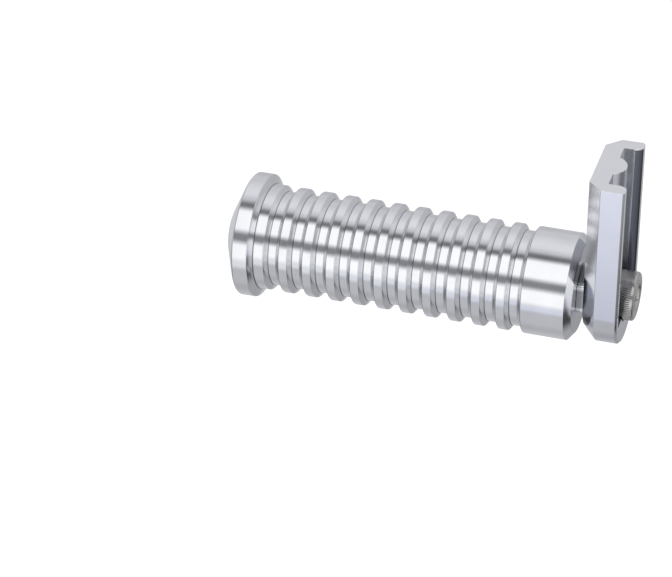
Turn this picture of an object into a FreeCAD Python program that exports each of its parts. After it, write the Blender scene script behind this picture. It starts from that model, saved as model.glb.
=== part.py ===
import FreeCAD, Part
import operator
import os
from math import atan2, floor, sqrt
from types import SimpleNamespace

import Sketcher
from FreeCAD import Rotation, Vector

# A moped footpeg in four pieces. A peg turned from bar stands square off a milled bracket.
# A socket head cap screw passes through the bracket's lower end and a thin jam nut into the peg.
# The bracket's other face is a channel that grips the lug on the frame, and a bolt goes through
# the hole near its top.
#
# Millimetres. The origin is the centre of the mounting hole, in the plane of the channel's floors.
# +X runs outboard along the peg, +Z is up, and the whole is mirror-symmetric in Y, the nut apart.

doc = FreeCAD.newDocument("footpeg")
sheet = doc.addObject("Spreadsheet::Sheet", "Sizes")

DRIVING_SIZES = [
    ("bracket_top", 13.6, "from the mounting hole up to the square-cut top"),
    ("peg_drop", 24.9, "from the mounting hole down to the peg's axis"),
    ("web_thickness", 4.85, "from the channel's floors to the flat face that the peg stands off"),
    ("lip_height", 4.9, "from the channel's floors to the edge of the lips"),
    ("face_chamfer", 3.65, "broad bevel round the flat face"),
    ("lip_chamfer", 0.55, "narrow bevel round the outside of the lips"),
    ("channel_width", 18.2, "between the lips, at the floors"),
    ("lip_thickness", 3.9, "thickness of each lip at its foot, which sets the bracket's width"),
    ("mouth_flare", 1.25, "how much thinner a lip is at its edge, where the channel widens"),
    ("lip_straight", 2.4, "height of the lips' inner face before it curves outwards"),
    ("channel_end", 3.7, "from the peg's axis down to the closed end of the channel"),
    ("rib_width", 8.2, "width of the rounded rib down the middle of the channel, at its foot"),
    ("rib_height", 2.8, "height of the rib above the floors"),
    ("mounting_hole", 9.0, "diameter of the hole for the bolt to the frame"),
    ("hole_edge", 0.6, "bevel at the mouth of the mounting hole, in the flat face"),
    ("thread_diameter", 8.0, "nominal diameter of the screw's thread"),
    ("thread_clearance", 0.05, "gap all round between the screw and a tapped hole"),
    ("screw_clearance", 0.5, "gap all round between the screw and its plain hole in the bracket"),
    ("screw_length", 20.0, "from under the head to the end of the thread"),
    ("screw_edge", 0.8, "bevel at the end of the thread"),
    ("head_diameter", 13.0, "diameter of the screw's head"),
    ("head_height", 8.0, "height of the screw's head"),
    ("head_edge", 0.5, "bevel round the end of the head"),
    ("head_clearance", 0.5, "gap all round between the head and its counterbore"),
    ("seat_thickness", 4.5, "bracket left between the bottom of the counterbore and the flat face"),
    ("socket_flats", 6.0, "across the flats of the hexagon socket"),
    ("socket_depth", 4.0, "depth of the hexagon socket"),
    ("socket_edge", 0.3, "bevel round the mouth of the socket"),
    ("nut_flats", 13.0, "across the flats of the jam nut"),
    ("nut_thickness", 2.4, "thickness of the jam nut, which sets the peg off the bracket"),
    ("nut_corner", 0.5, "how far the bevel on the nut's corners reaches down its sides"),
    ("nut_turn", 5.0, "degrees that the tightened nut is turned about its axis"),
    ("hole_spare", 4.4, "tapped hole left in the peg beyond the end of the screw"),
    ("collar_diameter", 28.5, "diameter of the peg's collar and of the tops of its ridges"),
    ("end_bevel", 1.65, "length of the bevel between the peg's end face and the collar"),
    ("end_bevel_height", 2.2, "height of that bevel"),
    ("grip_length", 86.0, "from the end face to the foot of the flange"),
    ("groove_first", 15.2, "from the end face to the middle of the first groove"),
    ("groove_pitch", 6.59, "from one groove to the next"),
    ("groove_margin", 4.0, "least distance from the middle of the last groove to the flange"),
    ("groove_depth", 1.55, "depth of a groove"),
    ("groove_floor", 2.28, "width of the flat bottom of a groove"),
    ("groove_slope", 1.015, "width of each sloping side of a groove"),
    ("flange_rise", 2.5, "height of the flange, which stops the foot, above the ridges"),
    ("flange_slope", 1.0, "length of the slope from the last ridge up to the flange"),
    ("flange_width", 4.0, "width of the flange's rim"),
    ("flange_edge", 0.35, "bevel between the rim and the domed end"),
    ("cone_length", 3.84, "length of the cone on the peg's outer end"),
    ("cap_diameter", 15.4, "diameter where the cone meets the round cap"),
    ("cap_height", 1.45, "height of the round cap"),
]

DRILL_POINT_ANGLE = 118
COUNTERSINK_ANGLE = 90
OVERRUN = 1.0
TOUCHING = 0.01
LEFT = 1
RIGHT = -1
REMOVES_MATERIAL = ("Pocket", "Groove", "Hole", "LinearPattern", "Chamfer")


class Length:
    """A size: its value now, and the formula that ties it to the sheet."""

    def __init__(self, value, formula):
        self.value = value
        self.formula = formula

    def joined(self, other, sign, work_out):
        """This length and another, or a plain number, with a sign between them."""
        other = length(other)
        return Length(work_out(self.value, other.value), f"({self.formula} {sign} {other.formula})")

    def __add__(self, other):
        return self.joined(other, "+", operator.add)

    def __sub__(self, other):
        return self.joined(other, "-", operator.sub)

    def __mul__(self, other):
        return self.joined(other, "*", operator.mul)

    def __truediv__(self, other):
        return self.joined(other, "/", operator.truediv)

    def __neg__(self):
        return Length(-self.value, f"-{self.formula}")


def length(number):
    """A plain number as a length; a length stays as it is."""
    return number if isinstance(number, Length) else Length(number, repr(number))


def root(square):
    """Square root of a length times a length."""
    return Length(sqrt(square.value), f"sqrt({square.formula})")


def whole(quotient):
    """The whole number at or just under a length divided by a length."""
    return Length(floor(quotient.value), f"floor({quotient.formula})")


def near(distance, place):
    """Whether a measured coordinate is at the place that a length gives."""
    return abs(distance - place.value) < TOUCHING


def arc_radius(half_chord, rise):
    """Radius of the circle through both ends of a chord that rises this far at its middle."""
    return (half_chord * half_chord + rise * rise) / (rise * 2)


size = SimpleNamespace()
for row, (alias, number, note) in enumerate(DRIVING_SIZES, 1):
    sheet.set(f"A{row}", note)
    sheet.set(f"B{row}", str(number))
    sheet.setAlias(f"B{row}", alias)
    setattr(size, alias, Length(number, f"Sizes.{alias}"))
doc.recompute()


def new_body(name, along_axis=None):
    """A body whose X axis is the peg's axis, or the part's own if it has no place along that."""
    body = doc.addObject("PartDesign::Body", name)
    body.Label = name
    if along_axis is not None:
        body.setExpression(".Placement.Base.x", along_axis.formula)
        body.setExpression(".Placement.Base.z", f"-{size.peg_drop.formula}")
    return body


def new_sketch(body, name, plane, offset=None):
    """A sketch on one of the body's own planes, moved along that plane's normal by the offset."""
    sketch = body.newObject("Sketcher::SketchObject", name)
    origin_plane = [part for part in body.Origin.OriginFeatures if part.Role == plane][0]
    sketch.AttachmentSupport = (origin_plane, "")
    sketch.MapMode = "FlatFace"
    if offset is not None:
        sketch.setExpression(".AttachmentOffset.Base.z", offset.formula)
    return sketch


def pin_point(sketch, curve, end, x, y):
    """Holds one end of a curve at x and y, measured from the sketch's origin."""
    for kind, axis, distance in (("DistanceX", -2, x), ("DistanceY", -1, y)):
        if distance.value == 0:
            sketch.addConstraint(Sketcher.Constraint("PointOnObject", curve, end, axis))
        elif distance.value > 0:
            tie(sketch, (kind, -1, 1, curve, end), distance)
        else:
            tie(sketch, (kind, curve, end, -1, 1), -distance)


def tie(sketch, what, distance):
    """Adds a dimension to the sketch and binds it to the distance's formula."""
    number = sketch.addConstraint(Sketcher.Constraint(*what, distance.value))
    sketch.renameConstraint(number, f"{what[0]}{number}")
    sketch.setExpression(f".Constraints.{what[0]}{number}", distance.formula)


def draw_outline(sketch, corners):
    """Draws a closed outline, each corner (x, y) tied to the sheet.

    A corner with a radius and a turn ends an arc of that radius, which bends LEFT or RIGHT.
    """
    corners = [(length(x), length(y), *bend) for x, y, *bend in corners]
    ends = []
    for curve, (x, y, *bend) in enumerate(corners):
        before = corners[curve - 1]
        start = Vector(before[0].value, before[1].value)
        end = Vector(x.value, y.value)
        if not bend:
            sketch.addGeometry(Part.LineSegment(start, end), False)
            ends.append((1, 2))
            continue
        radius, turn = bend
        sketch.addGeometry(arc_between(start, end, radius.value, turn), False)
        tie(sketch, ("Radius", curve), radius)
        ends.append((1, 2) if turn == LEFT else (2, 1))
    for curve, (x, y, *bend) in enumerate(corners):
        following = (curve + 1) % len(corners)
        last, first = ends[curve][1], ends[following][0]
        sketch.addConstraint(Sketcher.Constraint("Coincident", curve, last, following, first))
        pin_point(sketch, curve, last, x, y)


def arc_between(start, end, radius, turn):
    """The short arc from start to end that bends to the left or to the right."""
    half_chord = (end - start) / 2
    across = Vector(-half_chord.y, half_chord.x).normalize()
    to_centre = (radius ** 2 - half_chord.Length ** 2) ** 0.5
    centre = start + half_chord + across * (turn * to_centre)
    first, last = (start, end) if turn == LEFT else (end, start)
    angles = [atan2(point.y - centre.y, point.x - centre.x) for point in (first, last)]
    return Part.ArcOfCircle(Part.Circle(centre, Vector(0, 0, 1), radius), *angles)


def draw_circle(sketch, diameter):
    """Draws a circle of this diameter round the sketch's origin."""
    sketch.addGeometry(Part.Circle(Vector(), Vector(0, 0, 1), diameter.value / 2), False)
    sketch.addConstraint(Sketcher.Constraint("Coincident", 0, 3, -1, 1))
    tie(sketch, ("Diameter", 0), diameter)


def draw_hexagon(sketch, flats):
    """Draws a hexagon round the sketch's origin, with two of its flats upright."""
    half_flats = flats / 2
    half_side = half_flats / root(length(3))
    draw_outline(sketch, [
        (0, -half_side * 2),
        (half_flats, -half_side),
        (half_flats, half_side),
        (0, half_side * 2),
        (-half_flats, half_side),
        (-half_flats, -half_side),
    ])


def add_feature(body, kind, name, sketch=None, **settings):
    """A feature of the body; a setting that is a length is bound to its formula."""
    feature = body.newObject(f"PartDesign::{kind}", name)
    if sketch is not None:
        feature.Profile = sketch
        sketch.Visibility = False
    for setting, value in settings.items():
        if isinstance(value, Length):
            feature.setExpression(f".{setting}", value.formula)
        else:
            setattr(feature, setting, value)
    doc.recompute()
    return feature


def turn_about_axis(body, kind, name, sketch):
    """A full turn of the sketch about its own horizontal axis, added to or cut from the body."""
    return add_feature(body, kind, name, sketch, ReferenceAxis=(sketch, ["H_Axis"]), Angle=360)


def bevel_face_edges(body, name, face, width):
    """An even bevel along the outline of the bracket's face on this plane, its top edge apart."""
    base = body.Tip
    names = [
        f"Edge{number}"
        for number, edge in enumerate(base.Shape.Edges, 1)
        if near(edge.CenterOfMass.x, face) and not near(edge.CenterOfMass.z, size.bracket_top)
    ]
    return add_feature(body, "Chamfer", name, Base=(base, names), Size=width)


def drill(body, name, offset, diameter, **settings):
    """A drilled hole along X, which starts on the plane at the offset and runs towards -X."""
    sketch = new_sketch(body, f"{name}_circle", "YZ_Plane", offset)
    draw_circle(sketch, diameter)
    doc.recompute()
    return add_feature(body, "Hole", name, sketch, ThreadType="None", Diameter=diameter, **settings)


def make_bracket():
    """Milled plate with a square top and a full-round lower end that is centred on the peg.

    One face is flat with a broad bevel. The other is a channel between two flared lips, with a
    rounded rib down its middle. It runs out through the top and ends just below the screw.
    """
    body = new_body("bracket")
    half_channel = size.channel_width / 2
    half_mouth = half_channel + size.mouth_flare
    half_width = half_channel + size.lip_thickness

    outline = new_sketch(body, "bracket_outline", "YZ_Plane")
    draw_outline(outline, [
        (-half_width, size.bracket_top),
        (-half_width, -size.peg_drop),
        (0, -(size.peg_drop + half_width), half_width, LEFT),
        (half_width, -size.peg_drop, half_width, LEFT),
        (half_width, size.bracket_top),
    ])
    add_feature(
        body, "Pad", "plate", outline,
        SideType="Two sides", Length=size.web_thickness, Length2=size.lip_height,
    )

    bevel_face_edges(body, "face_bevel", size.web_thickness, size.face_chamfer)
    bevel_face_edges(body, "lip_bevel", -size.lip_height, size.lip_chamfer)

    half_rib = size.rib_width / 2
    flare = arc_radius(size.lip_height - size.lip_straight, size.mouth_flare)
    rib_radius = arc_radius(half_rib, size.rib_height)
    section = new_sketch(body, "channel_section", "XY_Plane", size.bracket_top)
    draw_outline(section, [
        (-size.lip_height - OVERRUN, -half_mouth),
        (-size.lip_height, -half_mouth),
        (-size.lip_straight, -half_channel, flare, RIGHT),
        (0, -half_channel),
        (0, -half_rib),
        (0, half_rib, rib_radius, RIGHT),
        (0, half_channel),
        (-size.lip_straight, half_channel),
        (-size.lip_height, half_mouth, flare, RIGHT),
        (-size.lip_height - OVERRUN, half_mouth),
    ])
    channel_length = size.bracket_top + size.peg_drop + size.channel_end
    add_feature(body, "Pocket", "channel", section, Length=channel_length)

    drill(
        body, "mounting_hole", size.web_thickness, size.mounting_hole,
        DepthType="ThroughAll", HoleCutType="Countersink", HoleCutCustomValues=True,
        HoleCutDiameter=size.mounting_hole + size.hole_edge * 2,
        HoleCutCountersinkAngle=COUNTERSINK_ANGLE,
    )
    return body


def make_screw_seat(body):
    """Counterbore for the screw's head in the channel side, and a plain hole for the screw."""
    thickness = size.lip_height + size.web_thickness
    screw_bore = size.thread_diameter + size.screw_clearance * 2
    head_bore = size.head_diameter + size.head_clearance * 2
    for name, diameter, depth in (
        ("screw_hole", screw_bore, thickness),
        ("counterbore", head_bore, thickness - size.seat_thickness),
    ):
        sketch = new_sketch(body, f"{name}_circle", "YZ_Plane", -size.lip_height)
        sketch.setExpression(".AttachmentOffset.Base.y", f"-{size.peg_drop.formula}")
        draw_circle(sketch, diameter)
        add_feature(body, "Pocket", name, sketch, Length=depth, Reversed=True)


def make_peg_body():
    """Peg turned from one bar: bevelled collar, grooved grip, flange and a domed outer end."""
    body = new_body("peg_body", size.web_thickness + size.nut_thickness)
    collar = size.collar_diameter / 2
    flange = collar + size.flange_rise
    cap = size.cap_diameter / 2
    flange_start = size.grip_length + size.flange_slope
    rim_end = flange_start + size.flange_width
    cone_start = rim_end + size.flange_edge
    cap_start = cone_start + size.cone_length

    profile = new_sketch(body, "peg_profile", "XZ_Plane")
    draw_outline(profile, [
        (0, 0),
        (cap_start + size.cap_height, 0),
        (cap_start, cap, arc_radius(cap, size.cap_height), LEFT),
        (cone_start, flange - size.flange_edge),
        (rim_end, flange),
        (flange_start, flange),
        (size.grip_length, collar),
        (size.end_bevel, collar),
        (0, collar - size.end_bevel_height),
    ])
    turn_about_axis(body, "Revolution", "turned_bar", profile)

    groove = new_sketch(body, "groove_section", "XZ_Plane")
    draw_groove(groove, collar)
    first_groove = turn_about_axis(body, "Groove", "first_groove", groove)
    room = size.grip_length - size.groove_first - size.groove_margin
    grooves = add_feature(
        body, "LinearPattern", "grooves", Originals=[first_groove], Direction=(groove, ["H_Axis"]),
        Mode="Spacing", Offset=size.groove_pitch, Occurrences=whole(room / size.groove_pitch) + 1,
    )
    body.Tip = grooves
    doc.recompute()

    screw_reach = size.screw_length - size.seat_thickness - size.nut_thickness
    drill(
        body, "tapped_hole", None, size.thread_diameter,
        Reversed=True, DepthType="Dimension", Depth=screw_reach + size.hole_spare,
        DrillPoint="Angled", DrillPointAngle=DRILL_POINT_ANGLE,
    )
    return body


def draw_groove(sketch, collar):
    """Section of one groove: a flat floor between two sloping sides that meet the ridges."""
    middle = size.groove_first
    bottom = collar - size.groove_depth
    bottom_half = size.groove_floor / 2
    mouth_half = bottom_half + size.groove_slope
    draw_outline(sketch, [
        (middle - mouth_half, collar + OVERRUN),
        (middle - mouth_half, collar),
        (middle - bottom_half, bottom),
        (middle + bottom_half, bottom),
        (middle + mouth_half, collar),
        (middle + mouth_half, collar + OVERRUN),
    ])


def make_cap_screw():
    """Socket head cap screw: its head seats in the bracket and its thread runs to the peg."""
    body = new_body("cap_screw", size.web_thickness - size.seat_thickness)
    shank = size.thread_diameter / 2 - size.thread_clearance
    head = size.head_diameter / 2
    profile = new_sketch(body, "screw_profile", "XZ_Plane")
    draw_outline(profile, [
        (-size.head_height, 0),
        (size.screw_length, 0),
        (size.screw_length, shank - size.screw_edge),
        (size.screw_length - size.screw_edge, shank),
        (0, shank),
        (0, head),
        (size.head_edge - size.head_height, head),
        (-size.head_height, head - size.head_edge),
    ])
    turn_about_axis(body, "Revolution", "turned_screw", profile)

    socket = new_sketch(body, "socket_hexagon", "YZ_Plane", -size.head_height)
    draw_hexagon(socket, size.socket_flats)
    add_feature(body, "Pocket", "socket", socket, Length=size.socket_depth, Reversed=True)

    mouth = size.socket_flats / root(length(3)) + size.socket_edge
    bevel = new_sketch(body, "socket_mouth", "XZ_Plane")
    draw_outline(bevel, [
        (-size.head_height - OVERRUN, 0),
        (mouth - size.head_height, 0),
        (-size.head_height, mouth),
        (-size.head_height - OVERRUN, mouth),
    ])
    turn_about_axis(body, "Groove", "socket_bevel", bevel)
    return body


def make_jam_nut():
    """Thin hexagon nut, locked between the bracket and the peg, bevelled on the bracket side."""
    body = new_body("jam_nut", size.web_thickness)
    body.Placement.Rotation = Rotation(Vector(1, 0, 0), size.nut_turn.value)
    body.setExpression(".Placement.Rotation.Angle", size.nut_turn.formula)
    hexagon = new_sketch(body, "nut_hexagon", "YZ_Plane")
    draw_hexagon(hexagon, size.nut_flats)
    add_feature(body, "Pad", "hexagon", hexagon, Length=size.nut_thickness)

    corner = size.nut_flats / root(length(3))
    face = size.nut_flats / 2 - size.nut_corner / 2
    slope = (corner - face) / size.nut_corner
    bevel = new_sketch(body, "nut_bevel", "XZ_Plane")
    draw_outline(bevel, [
        (-length(OVERRUN), face - slope * OVERRUN),
        (size.nut_corner + OVERRUN, corner + slope * OVERRUN),
        (-length(OVERRUN), corner + slope * OVERRUN),
    ])
    turn_about_axis(body, "Groove", "corner_bevel", bevel)

    hole = new_sketch(body, "nut_thread", "YZ_Plane")
    draw_circle(hole, size.thread_diameter)
    add_feature(body, "Pocket", "thread", hole, Length=size.nut_thickness, Reversed=True)
    return body


def check_document(pieces):
    """Stops if an object failed, a piece isn't one valid solid, or a cut removed nothing."""
    for item in doc.Objects:
        if "Invalid" in item.State or "Error" in item.State:
            raise RuntimeError(f"{item.Label} failed: {item.State}")
    for piece in pieces:
        if piece.Shape.isNull() or not piece.Shape.isValid() or len(piece.Shape.Solids) != 1:
            raise RuntimeError(f"{piece.Label} isn't one valid solid")
        for feature in piece.Group:
            if feature.TypeId.removeprefix("PartDesign::") not in REMOVES_MATERIAL:
                continue
            if feature.Shape.Volume > feature.BaseFeature.Shape.Volume - TOUCHING:
                raise RuntimeError(f"{feature.Label} removed nothing")


bracket = make_bracket()
make_screw_seat(bracket)
pieces = [make_peg_body(), bracket, make_cap_screw(), make_jam_nut()]
doc.recompute()
check_document(pieces)

os.makedirs("parts", exist_ok=True)
for piece in pieces:
    piece.Shape.exportStep(f"parts/{piece.Label}.step")
    box = piece.Shape.BoundBox
    print(
        f"{piece.Label}: {piece.Shape.Volume:.1f} mm3,"
        f" x {box.XMin:.2f} to {box.XMax:.2f},"
        f" y {box.YMin:.2f} to {box.YMax:.2f},"
        f" z {box.ZMin:.2f} to {box.ZMax:.2f}"
    )
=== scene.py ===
import math

import bmesh
import bpy
import numpy as np
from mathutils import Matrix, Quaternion, Vector


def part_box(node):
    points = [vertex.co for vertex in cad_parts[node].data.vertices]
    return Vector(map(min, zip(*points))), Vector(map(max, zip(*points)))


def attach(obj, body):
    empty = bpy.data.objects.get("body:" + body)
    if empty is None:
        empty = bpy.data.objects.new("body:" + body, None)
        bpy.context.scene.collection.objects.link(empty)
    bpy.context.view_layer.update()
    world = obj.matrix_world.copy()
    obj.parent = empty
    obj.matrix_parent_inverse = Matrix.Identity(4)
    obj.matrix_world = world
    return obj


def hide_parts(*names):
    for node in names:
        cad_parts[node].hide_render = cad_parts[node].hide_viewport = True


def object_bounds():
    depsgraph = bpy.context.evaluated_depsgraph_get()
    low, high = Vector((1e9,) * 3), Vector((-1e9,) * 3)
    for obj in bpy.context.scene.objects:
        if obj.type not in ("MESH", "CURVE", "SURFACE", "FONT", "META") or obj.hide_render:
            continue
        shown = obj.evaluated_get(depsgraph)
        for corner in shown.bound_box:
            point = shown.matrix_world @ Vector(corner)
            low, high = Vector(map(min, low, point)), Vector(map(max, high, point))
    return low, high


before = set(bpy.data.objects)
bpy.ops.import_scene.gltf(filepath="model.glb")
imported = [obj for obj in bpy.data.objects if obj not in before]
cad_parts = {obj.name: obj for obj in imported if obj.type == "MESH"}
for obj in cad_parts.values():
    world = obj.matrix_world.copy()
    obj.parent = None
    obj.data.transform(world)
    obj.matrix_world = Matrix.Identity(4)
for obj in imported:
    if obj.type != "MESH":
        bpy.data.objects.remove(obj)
cad_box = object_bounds()

# A moped footpeg in four pieces, in the order in which they go together: a milled bracket, a socket
# head cap screw through its lower end, a thin jam nut on that screw, and a turned peg screwed up to
# the nut. +X runs outboard along the peg and +Z up the bracket. Sizes are in millimetres until a
# mesh is made, and the studio's are in metres. Every piece goes round, or stands on, the peg's axis.


# The bracket is a plate milled from aluminium alloy bar, 26 by 51.5 mm and 9.75 mm deep, with a
# broad bevel round its flat face and a channel for the frame's lug in the other. It is bead
# blasted lightly and clear anodised, and its edges are broken by 0.2 mm so that they catch light.

MM = 0.001
EDGE_BREAK = 0.2
EDGE_STEPS = 3
SHARP_EDGE = math.radians(22)
SAME_PLACE = 0.001
SAME_PLANE = math.radians(0.4)


def linear(colour):
    """The colour of an sRGB hex value as linear red, green, blue and a full alpha."""
    parts = np.array([int(colour[place:place + 2], 16) for place in (1, 3, 5)]) / 255
    parts = np.where(parts <= 0.04045, parts / 12.92, ((parts + 0.055) / 1.055) ** 2.4)
    return (*parts, 1.0)


def new_material(name):
    """An empty material; returns it with its node tree."""
    material = bpy.data.materials.new(name)
    material.use_nodes = True
    material.node_tree.nodes.clear()
    return material, material.node_tree


def add_node(tree, kind, inputs=None, tones=(), **options):
    """Adds a node with these options; each input takes a value, or a link from another's output.

    The tones are those of a colour ramp, each with its place on the ramp and its colour.
    """
    node = tree.nodes.new(f"ShaderNode{kind}")
    for option, value in options.items():
        setattr(node, option, value)
    for socket, value in (inputs or {}).items():
        if isinstance(value, bpy.types.NodeSocket):
            tree.links.new(value, node.inputs[socket])
        else:
            node.inputs[socket].default_value = value
    for stop, (position, colour) in enumerate(tones):
        node.color_ramp.elements[stop].position = position
        node.color_ramp.elements[stop].color = linear(colour)
    return node


def softened_copy(name, node):
    """A merged copy of a CAD node's mesh, whose flat faces are whole again and whose edges are soft."""
    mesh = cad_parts[node].data.copy()
    mesh.name = name
    mesh.materials.clear()
    work = bmesh.new()
    work.from_mesh(mesh)
    bmesh.ops.remove_doubles(work, verts=work.verts, dist=SAME_PLACE * MM)
    bmesh.ops.dissolve_limit(work, angle_limit=SAME_PLANE, verts=work.verts, edges=work.edges)
    work.to_mesh(mesh)
    work.free()
    mesh.shade_smooth()
    piece = bpy.data.objects.new(name, mesh)
    bpy.context.scene.collection.objects.link(piece)
    edges = piece.modifiers.new("edge_break", "BEVEL")
    edges.width = EDGE_BREAK * MM
    edges.segments = EDGE_STEPS
    edges.limit_method = "ANGLE"
    edges.angle_limit = SHARP_EDGE
    piece.modifiers.new("flats_stay_flat", "WEIGHTED_NORMAL").weight = 100
    return piece


bracket = softened_copy("bracket_plate", "bracket")
bracket_low, bracket_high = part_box("bracket")

# Milled and anodised aluminium. The blasting leaves a fine grain under the clear oxide, so the
# faces are satin: they show soft shapes instead of a mirror image, with faint upright streaks that
# the cutter left as it ran along the plate. The oxide's tone varies in soft clouds, and shade is
# painted into the colour, lighter at the top and greyer below. The real grain is about 0.1 mm and is
# drawn at 0.35 mm so that it shows.
BLAST_GRAIN = 0.35
BLAST_DEPTH = 0.01
STREAK_WIDTH = 0.5
STREAK_LENGTH = 14.0
STREAK_DEPTH = 0.004
CLOUD_WIDTH = 6.0
CLOUD_SHARE = 0.3
OXIDE_TONES_AND_PAINTED_SHADE = ((0.1, "#DCDEE3"), (0.9, "#FDFDFF"))
OXIDE_ROUGHNESS = (0.10, 0.16)
# Some faces are left as the cutter leaves them, and are rougher: the channel, the flare of its
# lips and the flat face that the nut is tightened against. Their colour is darkened too, as painted
# shade in the channel, inside the lips and in the gap between the bracket and the peg. Each has its
# name, its reach along X, off the middle and up, the colour of its painted shade and its roughness.
CHANNEL_HEIGHT = (-28.7, 13.3)
CUT_FACES_AND_PAINTED_SHADE = (
    ("channel", (-4.95, 0.3), (-1, 10.3), CHANNEL_HEIGHT, "#DFE0E3", 0.26),
    ("flare of the lips", (-4.95, -2.4), (9.15, 10.3), CHANNEL_HEIGHT, "#7E8187", 0.24),
    ("flat face", (4.8, 4.9), (-1, 13.1), (-40, 14), "#D0D1D4", 0.26),
)
# A Mix node's two colour inputs and its colour output go by number.
MIX_COLOURS = (6, 7)
MIX_RESULT = 2

satin, tree = new_material("milled_anodised_aluminium")
place = add_node(tree, "TexCoord").outputs["Object"]
along_plate = add_node(tree, "Mapping", {
    "Vector": place,
    "Scale": (1 / (STREAK_WIDTH * MM), 1 / (STREAK_WIDTH * MM), 1 / (STREAK_LENGTH * MM)),
})
streaks = add_node(tree, "TexNoise", {"Vector": along_plate.outputs[0], "Scale": 1.0, "Detail": 3.0})
grain = add_node(tree, "TexNoise", {"Vector": place, "Scale": 1 / (BLAST_GRAIN * MM), "Detail": 2.0})
clouds = add_node(tree, "TexNoise", {"Vector": place, "Scale": 1 / (CLOUD_WIDTH * MM), "Detail": 4.0})
sides = add_node(tree, "SeparateXYZ", {0: place}).outputs
# Painted shade: the bracket's colour is lighter at its top and greyer towards its bottom.
climb = add_node(tree, "MapRange", {
    "Value": sides["Z"], "From Min": bracket_low.z, "From Max": bracket_high.z,
    "To Max": 1 - CLOUD_SHARE,
})
clouds_and_painted_shade = add_node(tree, "Math", {
    0: clouds.outputs["Fac"], 1: CLOUD_SHARE, 2: climb.outputs["Result"],
}, operation="MULTIPLY_ADD")
tone = add_node(tree, "ValToRGB", {"Fac": clouds_and_painted_shade.outputs[0]}, OXIDE_TONES_AND_PAINTED_SHADE).outputs["Color"]
roughness = add_node(tree, "MapRange", {
    "Value": streaks.outputs["Fac"], "To Min": OXIDE_ROUGHNESS[0], "To Max": OXIDE_ROUGHNESS[1],
}).outputs["Result"]
off_middle = add_node(tree, "Math", {0: sides["Y"]}, operation="ABSOLUTE").outputs[0]
# Painted shade: each cut face's colour is darkened, in the channel, on the lips' flares and behind the nut.
for _, *reach, colour, cut_roughness in CUT_FACES_AND_PAINTED_SHADE:
    inside = 1.0
    for side, (start, end) in zip((sides["X"], off_middle, sides["Z"]), reach):
        between = add_node(tree, "Math", {
            0: side, 1: (start + end) / 2 * MM, 2: (end - start) / 2 * MM,
        }, operation="COMPARE")
        inside = add_node(tree, "Math", {0: between.outputs[0], 1: inside}, operation="MULTIPLY").outputs[0]
    tone = add_node(tree, "Mix", {
        0: inside, MIX_COLOURS[0]: tone, MIX_COLOURS[1]: linear(colour),
    }, data_type="RGBA", blend_type="MULTIPLY").outputs[MIX_RESULT]
    roughness = add_node(tree, "MapRange", {
        "Value": inside, "To Min": roughness, "To Max": cut_roughness,
    }).outputs["Result"]
surface = add_node(tree, "Bump", {
    "Height": grain.outputs["Fac"], "Strength": 0.25, "Distance": BLAST_DEPTH * MM,
})
surface = add_node(tree, "Bump", {
    "Height": streaks.outputs["Fac"], "Strength": 0.3, "Distance": STREAK_DEPTH * MM,
    "Normal": surface.outputs["Normal"],
})
shader = add_node(tree, "BsdfPrincipled", {
    "Base Color": tone, "Metallic": 1.0, "Roughness": roughness, "Normal": surface.outputs["Normal"],
})
add_node(tree, "OutputMaterial", {"Surface": shader.outputs[0]})
bracket.data.materials.append(satin)

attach(bracket, "root")
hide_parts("bracket")


# The cap screw is a stock M8 by 20 socket head screw of stainless steel. Its head is cold formed,
# 13 mm across and 8 mm high, with a straight knurl rolled round its side. It holds the peg: its
# head seats in the bracket's counterbore and its thread runs through the nut into the peg.

HEAD_RADIUS = 6.5
HEAD_HEIGHT = 8.0
HEAD_ROUND = 0.75
HEAD_ROUND_STEPS = 8
HEAD_FOOT_EDGE = 0.25
HEAD_FILLET = 0.2
CORNER_STEPS = 5
KNURL_TEETH = 72
KNURL_STEPS = 8
SCREW_COLUMNS = KNURL_TEETH * KNURL_STEPS
KNURL_DEPTH = 0.1
KNURL_GROOVE = 0.5
KNURL_START = 1.0
KNURL_END = 7.5
KNURL_FADE = 0.2
SOCKET_FLATS = 6.0
SOCKET_DEPTH = 4.0
SOCKET_CORNER = 0.12
SOCKET_BEVEL = 0.3
SOCKET_ROUND = 0.2
# How near a ring lies to the edges of the socket's bevel: below its foot, above it, below its top.
BEVEL_RINGS = (0.05, 0.03, 0.04)
# The middle of a quarter round lies this share of its radius off each of its two sides.
QUARTER_ROUND = 0.3
THREAD_CREST = 3.95
THREAD_DEPTH = 0.6
THREAD_ROOT = 1 / 6
THREAD_PITCH = 1.25
THREAD_STEP = 0.2
SCREW_LENGTH = 20.0
SCREW_BEVEL = 0.8

screw_low, screw_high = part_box("cap_screw")
AXIS_HEIGHT = (screw_low.z + screw_high.z) / 2 / MM


def angles(steps):
    """The angles of so many even steps round a circle."""
    return np.arange(steps) * 2 * np.pi / steps


def hexagon(angle, flats, corner):
    """Distance from the middle of a hexagon to its edge, at each angle.

    On a flat it is half the width over the cosine of the angle from that flat's middle. Near a
    corner it is the distance to the circle of the corner's radius that touches both flats.
    """
    half = flats / 2
    off_middle = np.abs((angle + np.pi / 6) % (np.pi / 3) - np.pi / 6)
    off_corner = np.pi / 6 - off_middle
    centre = (half - corner) / math.cos(np.pi / 6)
    inside = np.maximum(corner ** 2 - (centre * np.sin(off_corner)) ** 2, 0)
    on_flat = off_middle < math.atan((half - corner) * math.tan(np.pi / 6) / half)
    return np.where(on_flat, half / np.cos(off_middle), centre * np.cos(off_corner) + np.sqrt(inside))


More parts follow.
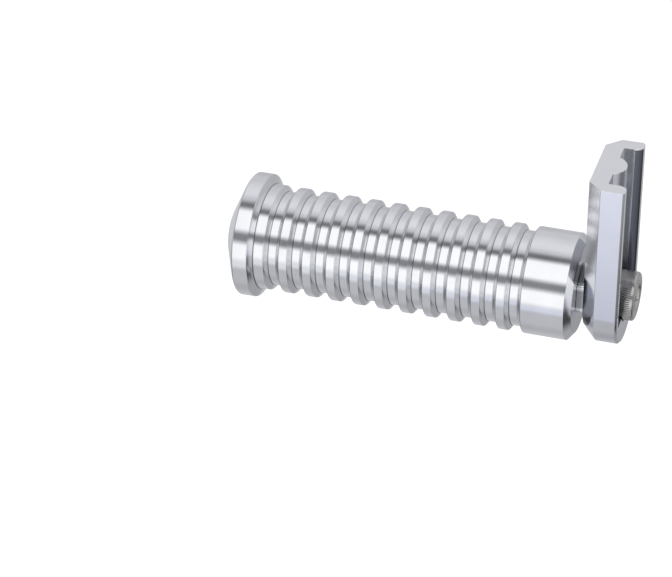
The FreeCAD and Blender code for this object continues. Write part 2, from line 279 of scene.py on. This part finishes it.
def soften(corners, steps=CORNER_STEPS):
    """A profile (along, radius) through the corners, each of which has its own edge radius.

    With u the way in, v the way out and w the part of v square to u, the arc starts short of the
    corner and is start + edge (u sin t + w (1 - cos t)), where t goes from 0 to the corner's turn.
    """
    corners = np.array(corners, float)
    points, edge = corners[:, :2], corners[1:-1, 2]
    way = np.diff(points, axis=0)
    way /= np.linalg.norm(way, axis=1, keepdims=True)
    into, out = way[:-1], way[1:]
    turn = np.arccos(np.clip((into * out).sum(axis=1), -1, 1))
    square = out - into * np.cos(turn)[:, None]
    square /= np.linalg.norm(square, axis=1, keepdims=True)
    start = points[1:-1] - into * (edge * np.tan(turn / 2))[:, None]
    t = (turn[:, None] * np.linspace(0, 1, steps))[..., None]
    arcs = into[:, None] * np.sin(t) + square[:, None] * (1 - np.cos(t))
    arcs = start[:, None] + arcs * edge[:, None, None]
    return np.concatenate([points[:1], arcs.reshape(-1, 2), points[-1:]])


def turned_skin(name, start, rings, columns, through=False):
    """A closed skin round the peg's axis, over rings given as (along, radius) from the start.

    Each of the two is a number, or has a value for each angle. A point is (start + along, radius
    cos a, axis height + radius sin a), and a takes one even step for each column. The first and last
    rings are single points on the axis, or the last joins the first if a hole goes through.
    """
    angle = angles(columns)
    rings = np.array([np.broadcast_arrays(along, radius, angle)[:2] for along, radius in rings])
    points = np.stack([
        start + rings[:, 0],
        rings[:, 1] * np.cos(angle),
        AXIS_HEIGHT + rings[:, 1] * np.sin(angle),
    ], axis=-1).reshape(-1, 3) * MM
    number = np.arange(len(points)).reshape(-1, columns)
    if through:
        following = np.roll(number, -1, axis=0)
        tips = []
    else:
        # The first and last rings keep one point each, and a fan of triangles closes the skin there.
        points = points[columns - 1:len(points) - columns + 1]
        tip = len(points) - 1
        number = np.clip(number - (columns - 1), 0, tip)
        first, last = number[1], number[-2]
        tips = [
            np.stack([np.zeros_like(first), np.roll(first, -1), first], axis=-1),
            np.stack([np.full_like(last, tip), last, np.roll(last, -1)], axis=-1),
        ]
        number, following = number[1:-2], number[2:-1]
    beside, beyond = np.roll(number, -1, axis=1), np.roll(following, -1, axis=1)
    quads = np.stack([number, beside, beyond, following], axis=-1).reshape(-1, 4)
    mesh = bpy.data.meshes.new(name)
    mesh.from_pydata(points, [], [face for group in (quads, *tips) for face in group.tolist()])
    mesh.shade_smooth()
    piece = bpy.data.objects.new(name, mesh)
    bpy.context.scene.collection.objects.link(piece)
    piece.modifiers.new("flats_stay_flat", "WEIGHTED_NORMAL").weight = 100
    return piece


def screw_rings():
    """Distance along the screw from its end face, and radius, of each ring.

    The socket's wall is the hexagon up to the bevel at its mouth. The knurl is a row of flat teeth
    with V grooves between them, and KNURL_GROOVE is a groove's part of each step round. The thread
    is a groove with a flat root, along a line that climbs one pitch for each turn. Its depth falls
    off evenly on both sides of that line, and grows from nothing over the first pitch.
    """
    angle = angles(SCREW_COLUMNS)
    wall = hexagon(angle, SOCKET_FLATS, SOCKET_CORNER)
    mouth = SOCKET_FLATS / math.sqrt(3) + SOCKET_BEVEL
    below, above, top = BEVEL_RINGS
    halfway = QUARTER_ROUND * SOCKET_ROUND
    head = soften([
        (0, mouth, 0),
        (0, HEAD_RADIUS, HEAD_ROUND),
        (KNURL_START, HEAD_RADIUS, 0),
    ], HEAD_ROUND_STEPS)
    off_groove = np.abs((angle * KNURL_TEETH / (2 * np.pi)) % 1 - 0.5)
    knurl = HEAD_RADIUS - KNURL_DEPTH * np.clip(1 - 2 * off_groove / KNURL_GROOVE, 0, 1)
    foot = soften([
        (KNURL_END, HEAD_RADIUS, 0),
        (HEAD_HEIGHT, HEAD_RADIUS, HEAD_FOOT_EDGE),
        (HEAD_HEIGHT, THREAD_CREST, HEAD_FILLET),
        (HEAD_HEIGHT + THREAD_PITCH, THREAD_CREST, 0),
    ])
    end = HEAD_HEIGHT + SCREW_LENGTH
    climb = np.arange(HEAD_HEIGHT + THREAD_PITCH + THREAD_STEP, end, THREAD_STEP)[:, None]
    off_root = np.abs((climb / THREAD_PITCH - angle / (2 * np.pi)) % 1 - 0.5)
    fade = np.clip((climb - climb[0]) / THREAD_PITCH, 0, 1)
    depth = THREAD_DEPTH * fade * np.clip((1 - 2 * off_root) / (1 - THREAD_ROOT), 0, 1)
    bevel = np.maximum(climb - (end - SCREW_BEVEL), 0)
    thread = np.minimum(THREAD_CREST - depth, THREAD_CREST - bevel)
    return [
        (SOCKET_DEPTH, 0),
        (SOCKET_DEPTH, wall - 2 * SOCKET_ROUND),
        (SOCKET_DEPTH, wall - SOCKET_ROUND),
        (SOCKET_DEPTH - halfway, wall - halfway),
        (SOCKET_DEPTH - SOCKET_ROUND, wall),
        (mouth - wall + below, wall),
        (mouth - wall - above, wall + above),
        (top, mouth - top),
        *head,
        (KNURL_START + KNURL_FADE, knurl),
        ((KNURL_START + KNURL_END) / 2, knurl),
        (KNURL_END - KNURL_FADE, knurl),
        *foot,
        *zip(climb, thread),
        (end, THREAD_CREST - SCREW_BEVEL),
        (end, 0),
    ]


cap_screw = turned_skin("cap_screw_m8", screw_low.x / MM, screw_rings(), SCREW_COLUMNS)

# Stainless steel, cold formed. It is darker and less blue than the aluminium beside it, with the
# smooth skin that the dies left and brighter spots where the teeth are rubbed.
RUBBED_SPOT = 1.4
STEEL_TONES = ((0.35, "#BCBAB7"), (0.7, "#CAC8C5"))
STEEL_ROUGHNESS = (0.24, 0.16)

steel, tree = new_material("cold_formed_stainless_steel")
place = add_node(tree, "TexCoord").outputs["Object"]
rubbed = add_node(tree, "TexNoise", {"Vector": place, "Scale": 1 / (RUBBED_SPOT * MM), "Detail": 2.0})
tone = add_node(tree, "ValToRGB", {"Fac": rubbed.outputs["Fac"]}, STEEL_TONES)
roughness = add_node(tree, "MapRange", {
    "Value": rubbed.outputs["Fac"], "To Min": STEEL_ROUGHNESS[0], "To Max": STEEL_ROUGHNESS[1],
})
shader = add_node(tree, "BsdfPrincipled", {
    "Base Color": tone.outputs["Color"], "Metallic": 1.0, "Roughness": roughness.outputs["Result"],
})
add_node(tree, "OutputMaterial", {"Surface": shader.outputs[0]})
cap_screw.data.materials.append(steel)

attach(cap_screw, "root")
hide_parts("cap_screw")


# The jam nut is a thin stainless hexagon, 13 mm across its flats and 2.4 mm thick, punched from
# strip and barrel polished. It is tightened between the bracket and the peg, a few degrees off
# square, with its bevelled corners towards the bracket.

NUT_FLATS = 13.0
NUT_THICKNESS = 2.4
NUT_CORNER = 0.9
NUT_BEVEL = 0.5
NUT_BEVEL_RINGS = 9
NUT_FACE_RADIUS = 6.25
NUT_HOLE = 4.0
NUT_TURN = math.radians(5)
NUT_BREAK = 0.12
NUT_FACE_RING = 0.48
NUT_COLUMNS = 360


def nut_rings():
    """Distance along the nut from the bracket, and radius, of each ring.

    The outside is the hexagon, or the cone of the corners' bevel where that is nearer the axis. The
    edges on the peg's side and at both ends of the hole are broken. NUT_FACE_RING is how far a ring
    lies inside the face's edge, so that the face is shaded flat.
    """
    side = hexagon(angles(NUT_COLUMNS) - NUT_TURN, NUT_FLATS, NUT_CORNER)
    slope = (NUT_FLATS / math.sqrt(3) - NUT_FACE_RADIUS) / NUT_BEVEL
    bevel = np.linspace(0, NUT_BEVEL, NUT_BEVEL_RINGS)[:, None]
    halfway = QUARTER_ROUND * NUT_BREAK
    return [
        *zip(bevel, np.minimum(side, NUT_FACE_RADIUS + slope * bevel)),
        (NUT_THICKNESS - NUT_BREAK, side),
        (NUT_THICKNESS - halfway, side - halfway),
        (NUT_THICKNESS, side - NUT_BREAK),
        (NUT_THICKNESS, side - NUT_FACE_RING),
        (NUT_THICKNESS, NUT_HOLE + NUT_BREAK),
        (NUT_THICKNESS - NUT_BREAK, NUT_HOLE),
        (NUT_BREAK, NUT_HOLE),
        (0, NUT_HOLE + NUT_BREAK),
    ]


nut_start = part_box("jam_nut")[0].x / MM
jam_nut = turned_skin("jam_nut_m8", nut_start, nut_rings(), NUT_COLUMNS, through=True)

# Barrel polished stainless steel: the same metal as the screw. Its colour is painted grey as shade
# on its flats and faces, and bright as a highlight at its corners. The flats are a little uneven, so
# that their reflections bend near the corners.
PAINTED_HIGHLIGHT_CORNER = (6.9, 7.15)
FLAT_WAVE = 1.2
FLAT_WAVE_DEPTH = 0.02
POLISH_GRAIN = 0.2
POLISH_ROUGHNESS = (0.14, 0.22)

polished, tree = new_material("barrel_polished_stainless_steel")
place = add_node(tree, "TexCoord").outputs["Object"]
waves = add_node(tree, "TexNoise", {"Vector": place, "Scale": 1 / (FLAT_WAVE * MM), "Detail": 1.0})
grain = add_node(tree, "TexNoise", {"Vector": place, "Scale": 1 / (POLISH_GRAIN * MM), "Detail": 2.0})
roughness = add_node(tree, "MapRange", {
    "Value": grain.outputs["Fac"], "To Min": POLISH_ROUGHNESS[0], "To Max": POLISH_ROUGHNESS[1],
})
off_axis = add_node(tree, "Mapping", {
    "Vector": place, "Location": (0, 0, -AXIS_HEIGHT * MM), "Scale": (0, 1, 1),
})
off_axis = add_node(tree, "VectorMath", {0: off_axis.outputs[0]}, operation="LENGTH")
corner = add_node(tree, "MapRange", {
    "Value": off_axis.outputs["Value"],
    "From Min": PAINTED_HIGHLIGHT_CORNER[0] * MM, "From Max": PAINTED_HIGHLIGHT_CORNER[1] * MM,
})
# Painted shade greys the flats, and a painted highlight brightens the corners.
tone = add_node(tree, "Mix", {
    0: corner.outputs["Result"], MIX_COLOURS[0]: linear("#A9AAAC"), MIX_COLOURS[1]: linear("#F2F2F2"),
}, data_type="RGBA")
surface = add_node(tree, "Bump", {
    "Height": waves.outputs["Fac"], "Strength": 0.5, "Distance": FLAT_WAVE_DEPTH * MM,
})
shader = add_node(tree, "BsdfPrincipled", {
    "Base Color": tone.outputs[MIX_RESULT], "Metallic": 1.0, "Roughness": roughness.outputs["Result"],
    "Normal": surface.outputs["Normal"],
})
add_node(tree, "OutputMaterial", {"Surface": shader.outputs[0]})
jam_nut.data.materials.append(polished)

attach(jam_nut, "root")
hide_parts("jam_nut")


# The peg is turned from one bar of aluminium alloy, 96.6 mm long: a collar, eleven grooves that
# give the boot its grip, a flange that stops it sliding off, and a shallow coned and domed end.
# It is polished on the lathe and clear anodised, and it screws on to the cap screw.

COLLAR_RADIUS = 14.25
COLLAR_EDGE = 0.2
END_BEVEL = 1.65
END_BEVEL_HEIGHT = 2.2
GRIP_LENGTH = 86.0
GROOVES = 11
GROOVE_FIRST = 15.2
GROOVE_PITCH = 6.59
GROOVE_DEPTH = 1.55
GROOVE_FLOOR = 2.28
GROOVE_SLOPE = 1.015
GROOVE_CORNER = 0.4
RIDGE_EDGE = 0.32
FLANGE_SLOPE = 1.0
FLANGE_WIDTH = 4.0
FLANGE_BEVEL = 0.35
FLANGE_EDGE = 0.45
CONE_EDGE = 0.2
CONE_LENGTH = 3.84
CAP_RADIUS = 7.7
CAP_HEIGHT = 1.45
CAP_RINGS = 14
HOLE_RADIUS = 4.0
HOLE_DEPTH = 17.5
HOLE_POINT = 2.4
HOLE_FOOT_EDGE = 0.1
HOLE_MOUTH_EDGE = 0.3
# How dark the line of painted shade is along each corner that has one: the ridge's outboard edge,
# the two feet of a groove's slopes and the flange's foot. The last value is its share on top against
# below, as less shade is painted on top.
RIDGE_PAINTED_SHADE = 0.7
NEAR_FOOT_PAINTED_SHADE = 0.2
FAR_FOOT_PAINTED_SHADE = 1.0
FLANGE_PAINTED_SHADE = 1.0
TOP_PAINTED_SHADE_SHARE = 0.7
PEG_COLUMNS = 180

peg_low, peg_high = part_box("peg_body")


def peg_profile():
    """Distance along the peg from its end face, and radius, from the tapped hole to the dome.

    Also gives the darkness of the line of painted shade at each point: sin(pi t) times the corner's
    own, where t goes from 0 to 1 round the corner. The dome is the cap of a ball.
    """
    flange_radius = (peg_high.y - peg_low.y) / 2 / MM
    floor = COLLAR_RADIUS - GROOVE_DEPTH
    half_floor = GROOVE_FLOOR / 2
    mouth = half_floor + GROOVE_SLOPE
    groove = np.array([
        (-mouth, COLLAR_RADIUS, RIDGE_EDGE, RIDGE_PAINTED_SHADE),
        (-half_floor, floor, GROOVE_CORNER, NEAR_FOOT_PAINTED_SHADE),
        (half_floor, floor, GROOVE_CORNER, FAR_FOOT_PAINTED_SHADE),
        (mouth, COLLAR_RADIUS, RIDGE_EDGE, 0),
    ])
    grooves = np.tile(groove, (GROOVES, 1, 1))
    grooves[..., 0] += GROOVE_FIRST + GROOVE_PITCH * np.arange(GROOVES)[:, None]
    rim = GRIP_LENGTH + FLANGE_SLOPE
    cone = rim + FLANGE_WIDTH + FLANGE_BEVEL
    corners = np.array([
        (HOLE_DEPTH + HOLE_POINT, 0, 0, 0),
        (HOLE_DEPTH, HOLE_RADIUS, HOLE_FOOT_EDGE, 0),
        (0, HOLE_RADIUS, HOLE_MOUTH_EDGE, 0),
        (0, COLLAR_RADIUS - END_BEVEL_HEIGHT, COLLAR_EDGE, 0),
        (END_BEVEL, COLLAR_RADIUS, COLLAR_EDGE, 0),
        *np.concatenate(grooves),
        (GRIP_LENGTH, COLLAR_RADIUS, GROOVE_CORNER, FLANGE_PAINTED_SHADE),
        (rim, flange_radius, FLANGE_EDGE, 0),
        (rim + FLANGE_WIDTH, flange_radius, FLANGE_EDGE, 0),
        (cone, flange_radius - FLANGE_BEVEL, CONE_EDGE, 0),
        (cone + CONE_LENGTH, CAP_RADIUS, 0, 0),
    ])
    painted_shade_lines = np.outer(corners[1:-1, 3], np.sin(np.linspace(0, np.pi, CORNER_STEPS)))
    ball = (CAP_RADIUS ** 2 + CAP_HEIGHT ** 2) / (2 * CAP_HEIGHT)
    tilt = np.linspace(math.asin(CAP_RADIUS / ball), 0, CAP_RINGS)[1:]
    tip = cone + CONE_LENGTH + CAP_HEIGHT
    cap = np.stack([tip - ball * (1 - np.cos(tilt)), ball * np.sin(tilt)], axis=-1)
    painted_shade_lines = np.concatenate([[0], painted_shade_lines.ravel(), np.zeros(1 + len(cap))])
    return np.concatenate([soften(corners), cap]), painted_shade_lines


profile, painted_shade_lines = peg_profile()
peg = turned_skin("peg_turned", peg_low.x / MM, profile, PEG_COLUMNS)

# Each point keeps its distance along the profile, which the lathe tool followed, and its share of
# the line of painted shade, which falls evenly with height from all of it below to the top's share
# on top.
steps = np.hypot(*np.diff(profile, axis=0).T)
painted_shade_share = TOP_PAINTED_SHADE_SHARE + (1 - TOP_PAINTED_SHADE_SHARE) * (1 - np.sin(angles(PEG_COLUMNS))) / 2
for attribute, values in (
    ("tool_path", np.outer(np.cumsum([0, *steps]), np.ones(PEG_COLUMNS))),
    ("painted_shade", np.outer(painted_shade_lines, painted_shade_share)),
):
    values = np.concatenate([values[0, :1], values[1:-1].ravel(), values[-1, :1]])
    peg.data.attributes.new(attribute, "FLOAT", "POINT").data.foreach_set("value", values)

# Bright anodised aluminium, turned. The tool leaves rings about 0.1 mm apart, drawn here at 0.35
# mm so that they show, and they blur a reflection along the peg but leave it sharp around it. Slow
# changes in the polish keep the broad white reflections from looking painted on.
RING_SPACING = 0.35
RING_DEPTH = 0.004
RING_ROUGHNESS = 0.05
POLISH_PATCH = 5.0
PEG_TONES = ((0.3, "#EFF0F2"), (0.7, "#F5F6F8"))
PEG_ROUGHNESS = (0.08, 0.15)
PAINTED_SHADE_END_FACE_DEPTH = 0.05

bright, tree = new_material("turned_bright_anodised_aluminium")
place = add_node(tree, "TexCoord").outputs["Object"]
path = add_node(tree, "Attribute", attribute_name="tool_path").outputs["Fac"]
turns = add_node(tree, "Math", {0: path, 1: 1 / RING_SPACING}, operation="MULTIPLY")
rings = add_node(
    tree, "TexNoise", {"W": turns.outputs[0], "Scale": 1.0, "Detail": 3.0}, noise_dimensions="1D",
)
patches = add_node(tree, "TexNoise", {"Vector": place, "Scale": 1 / (POLISH_PATCH * MM), "Detail": 3.0})
roughness = add_node(tree, "MapRange", {
    "Value": patches.outputs["Fac"], "To Min": PEG_ROUGHNESS[0], "To Max": PEG_ROUGHNESS[1],
})
roughness = add_node(tree, "Math", {
    0: rings.outputs["Fac"], 1: RING_ROUGHNESS, 2: roughness.outputs["Result"],
}, operation="MULTIPLY_ADD")
tone = add_node(tree, "ValToRGB", {"Fac": patches.outputs["Fac"]}, PEG_TONES).outputs["Color"]
# The end face is only faced off, and its colour is painted darker as shade, for it looks at the
# bracket across the narrow gap. Lines of painted shade run along the sharp corners of the grooves,
# the ridges' outboard edges and the flange's foot.
across = add_node(tree, "SeparateXYZ", {0: place})
# Painted shade: the end face next to the bracket is darkened.
end_face_painted_shade = add_node(tree, "Math", {
    0: across.outputs["X"], 1: peg_low.x + PAINTED_SHADE_END_FACE_DEPTH * MM,
}, operation="LESS_THAN")
# Painted shade: dark lines along the grooves' corners and the ridges' edges, darker below than on top.
corner_painted_shade = add_node(tree, "Attribute", attribute_name="painted_shade")
# Both colours mixed in here are painted shade.
for amount, colour in ((end_face_painted_shade.outputs[0], "#C6C8CB"), (corner_painted_shade.outputs["Fac"], "#44464A")):
    tone = add_node(tree, "Mix", {
        0: amount, MIX_COLOURS[0]: tone, MIX_COLOURS[1]: linear(colour),
    }, data_type="RGBA").outputs[MIX_RESULT]
surface = add_node(tree, "Bump", {
    "Height": rings.outputs["Fac"], "Strength": 0.25, "Distance": RING_DEPTH * MM,
})
lay = add_node(tree, "Tangent", direction_type="RADIAL", axis="X")
shader = add_node(tree, "BsdfPrincipled", {
    "Base Color": tone, "Metallic": 1.0, "Roughness": roughness.outputs[0],
    "Anisotropic": 0.5, "Anisotropic Rotation": 0.25, "Tangent": lay.outputs[0],
    "Normal": surface.outputs["Normal"],
})
add_node(tree, "OutputMaterial", {"Surface": shader.outputs[0]})
peg.data.materials.append(bright)

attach(peg, "root")
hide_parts("peg_body")


# The studio is a pale floor, one soft lamp overhead and a light tent of white cloth round the
# footpeg. Bright metal has no look but what it mirrors, so the tent is what the pieces show: two
# long lights in front, a dark seam over each, a paler roof and back, and the grey table below.

TENT_RADIUS = 0.6
TENT_ROWS = 121
TENT_COLUMNS = 360
TENT_MIDDLE = ((cad_box[0].x + cad_box[1].x) / 2, 0, AXIS_HEIGHT * MM)
# Each cloth: its name, where it starts and ends in degrees round the peg (0 is in front of it and 90
# overhead), and its brightness past the bracket, beside the peg and past the flange. The cloth
# between two of them changes evenly from one to the other.
TENT_CLOTHS = (
    ("front light", -14, 9, 0.95, 1.10, 0.72),
    ("seam over the front light", 19, 29, 0.25, 0.25, 0.24),
    ("upper light", 39, 72, 1.02, 1.10, 0.45),
    ("seam over the upper light", 81, 87, 0.22, 0.18, 0.30),
    ("edge of the roof", 96, 98, 0.45, 0.66, 0.38),
    ("roof", 107, 119, 0.74, 0.82, 0.52),
    ("back wall", 148, 160, 0.66, 0.65, 0.56),
    ("foot of the back wall", 178, 188, 0.53, 0.55, 0.64),
    ("edge of the table", 196, 208, 0.48, 0.56, 0.70),
    ("table behind the peg", 226, 245, 0.40, 0.57, 0.55),
    ("table under the peg", 266, 276, 0.36, 0.48, 0.45),
    ("table before the peg", 292, 320, 0.58, 0.56, 0.18),
    ("foot of the front light", 328, 337, 0.88, 0.86, 0.50),
)
# Where the brightness beside the peg, and past the flange, takes over from the one before. Both are
# given as the X part of the way out from the footpeg.
BESIDE_PEG_FROM = (-0.08, 0.06)
PAST_FLANGE_FROM = (0.38, 0.50)
# A dark cloth hangs low past the bracket. Its middle and half width are given as its height and
# its way from +X towards +Y, in degrees. The tent's opening, also dark, is past the bracket too.
DARK_CLOTH_HEIGHT = (-36, 12)
DARK_CLOTH_WAY = (192, 27)
DARK_CLOTH_SHARE = 0.85
OPENING = Vector((-0.97, 0.20, 0.02)).normalized()
OPENING_WIDTH = math.radians(11)
OPENING_GREY = 0.2
# The lights are a plain white and the unlit cloth is cooler, and one turns into the other between
# the two values of LIT_BRIGHTNESS. Daylight comes in low in front of the bracket's side, and makes
# that bluer still.
LIGHT_WHITE = linear("#FDFDFE")
CLOTH_WHITE = linear("#F7F8FD")
LIT_BRIGHTNESS = (0.85, 1.05)
DAYLIGHT_BLUE = linear("#E9EDFC")
DAYLIGHT = Vector((0.09, 0.86, -0.50)).normalized()
DAYLIGHT_WIDTH = math.radians(9)


def change(value, start, end):
    """3 t^2 - 2 t^3, where t goes evenly from 0 at the start to 1 at the end."""
    t = np.clip((value - start) / (end - start), 0, 1)
    return t ** 2 * (3 - 2 * t)


def spot(way, middle, width):
    """exp(-(angle between the way and the spot's middle / width)^4)."""
    return np.exp(-(np.arccos(np.clip(way @ np.array(middle), -1, 1)) / width) ** 4)


def tent_cloth():
    """Points and glow of a ball of cloth round the footpeg, with its poles on the peg's axis.

    A point is (cos p, sin p cos a, sin p sin a) times the radius, a being the angle round the peg.
    The glow follows a by the table, and goes from one column to the next with cos p. The dark cloth
    takes its share of exp(-(height off its middle / half height)^4 - (way off its middle / half
    width)^8) from it. The opening and the daylight are spots.
    """
    polar = np.radians(np.linspace(0, 180, TENT_ROWS))[:, None]
    around = angles(TENT_COLUMNS)[None, :]
    way = np.stack([
        np.cos(polar) * np.ones_like(around),
        np.sin(polar) * np.cos(around),
        np.sin(polar) * np.sin(around),
    ], axis=-1)
    edges = np.array([(degrees, *cloth[3:]) for cloth in TENT_CLOTHS for degrees in cloth[1:3]])
    past_bracket, beside_peg, past_flange = (
        np.interp(np.degrees(around), edges[:, 0] % 360, edges[:, column], period=360)
        for column in (1, 2, 3)
    )
    glow = past_bracket + (beside_peg - past_bracket) * change(way[..., 0], *BESIDE_PEG_FROM)
    glow = glow + (past_flange - glow) * change(way[..., 0], *PAST_FLANGE_FROM)
    height = (np.degrees(np.arcsin(way[..., 2])) - DARK_CLOTH_HEIGHT[0]) / DARK_CLOTH_HEIGHT[1]
    turn = np.degrees(np.arctan2(way[..., 1], way[..., 0])) % 360
    turn = (turn - DARK_CLOTH_WAY[0]) / DARK_CLOTH_WAY[1]
    glow = glow * (1 - DARK_CLOTH_SHARE * np.exp(-height ** 4 - turn ** 8))
    glow = glow + (OPENING_GREY - glow) * spot(way, OPENING, OPENING_WIDTH)
    lit = np.interp(glow, LIT_BRIGHTNESS, (0, 1))[..., None]
    tint = np.array(CLOTH_WHITE) + (np.array(LIGHT_WHITE) - CLOTH_WHITE) * lit
    tint = tint + (np.array(DAYLIGHT_BLUE) - tint) * spot(way, DAYLIGHT, DAYLIGHT_WIDTH)[..., None]
    return way * TENT_RADIUS + np.array(TENT_MIDDLE), tint * glow[..., None]


points, glow = tent_cloth()
number = np.arange(TENT_ROWS * TENT_COLUMNS).reshape(TENT_ROWS, TENT_COLUMNS)
beside = np.roll(number, -1, axis=1)
cells = np.stack([number[:-1], beside[:-1], beside[1:], number[1:]], axis=-1).reshape(-1, 4)
tent_mesh = bpy.data.meshes.new("light_tent")
tent_mesh.from_pydata(points.reshape(-1, 3), [], cells.tolist())
tent_mesh.attributes.new("glow", "FLOAT_COLOR", "POINT").data.foreach_set("color", glow.ravel())
tent = bpy.data.objects.new("light_tent", tent_mesh)
bpy.context.scene.collection.objects.link(tent)
tent.visible_camera = False
tent.visible_diffuse = False
tent.visible_transmission = False
tent.visible_shadow = False

lit_cloth, tree = new_material("lit_white_cloth")
shown = add_node(tree, "Attribute", attribute_name="glow").outputs["Color"]
light = add_node(tree, "Emission", {"Color": shown})
add_node(tree, "OutputMaterial", {"Surface": light.outputs[0]})
lit_cloth.cycles.emission_sampling = "NONE"
tent_mesh.materials.append(lit_cloth)

# The floor is a plain pale sheet, well below. The camera, and anything that mirrors or lets
# through the floor, sees it lifted to white, and the footpeg's soft shadow stays on it.
FLOOR_DROP = 0.64
FLOOR_SIZE = 12.0
FLOOR_LIFT = 0.45


def seen_directly(tree):
    """1 for a ray from the camera, a mirror or glass, and 0 for the light that falls on things."""
    rays = add_node(tree, "LightPath").outputs
    seen = add_node(tree, "Math", {0: rays["Is Camera Ray"], 1: rays["Is Glossy Ray"]}).outputs[0]
    return add_node(tree, "Math", {0: seen, 1: rays["Is Transmission Ray"]}).outputs[0]


floor_mesh = bpy.data.meshes.new("floor")
half, level = FLOOR_SIZE / 2, -FLOOR_DROP
corners = [(-half, -half, level), (half, -half, level), (half, half, level), (-half, half, level)]
floor_mesh.from_pydata(corners, [], [(0, 1, 2, 3)])
floor = bpy.data.objects.new("floor", floor_mesh)
bpy.context.scene.collection.objects.link(floor)
pale, tree = new_material("pale_paper_sheet")
lift = add_node(tree, "Math", {0: seen_directly(tree), 1: FLOOR_LIFT}, operation="MULTIPLY")
shader = add_node(tree, "BsdfPrincipled", {
    "Base Color": linear("#EDEDEB"), "Roughness": 0.9, "Specular IOR Level": 0.0,
    "Emission Color": linear("#FFFFFF"), "Emission Strength": lift.outputs[0],
})
add_node(tree, "OutputMaterial", {"Surface": shader.outputs[0]})
floor_mesh.materials.append(pale)

# A square softbox hangs over the footpeg, and the room round it is white and dimmer than it looks.
LAMP_SIZE = 0.5
LAMP_POWER = 3.0
LAMP_PLACE = (TENT_MIDDLE[0], 0.1, 0.5)
ROOM_LIGHT = 0.7

lamp = bpy.data.lights.new("overhead_softbox", "AREA")
lamp.shape = "SQUARE"
lamp.size = LAMP_SIZE
lamp.energy = LAMP_POWER
softbox = bpy.data.objects.new("overhead_softbox", lamp)
bpy.context.scene.collection.objects.link(softbox)
softbox.location = LAMP_PLACE
softbox.visible_camera = False
softbox.visible_glossy = False

world = bpy.data.worlds.new("white_room")
bpy.context.scene.world = world
world.use_nodes = True
tree = world.node_tree
tree.nodes.clear()
strength = add_node(tree, "MapRange", {"Value": seen_directly(tree), "To Min": ROOM_LIGHT, "To Max": 1.0})
sky = add_node(tree, "Background", {"Color": linear("#FFFFFF"), "Strength": strength.outputs["Result"]})
add_node(tree, "OutputWorld", {"Surface": sky.outputs[0]})

# The camera stands where the photograph was taken: 0.67 m off, in front of the peg and above it,
# and a little past the bracket's end.
CAMERA_PLACE = Vector((-101.85, 550.5, 352.0)) * MM
CAMERA_AIM = Vector((68.2, 20.0, -24.2)) * MM
CAMERA_ROLL = math.radians(-0.55)
CAMERA_LENS = 137.94

camera_data = bpy.data.cameras.new("camera")
camera_data.lens = CAMERA_LENS
camera_data.clip_start = 0.01
camera = bpy.data.objects.new("camera", camera_data)
bpy.context.scene.collection.objects.link(camera)
bpy.context.scene.camera = camera
level_view = (CAMERA_AIM - CAMERA_PLACE).to_track_quat("-Z", "Y")
camera.location = CAMERA_PLACE
camera.rotation_mode = "QUATERNION"
camera.rotation_quaternion = level_view @ Quaternion((0, 0, 1), CAMERA_ROLL)
bpy.context.scene.view_settings.view_transform = "Standard"
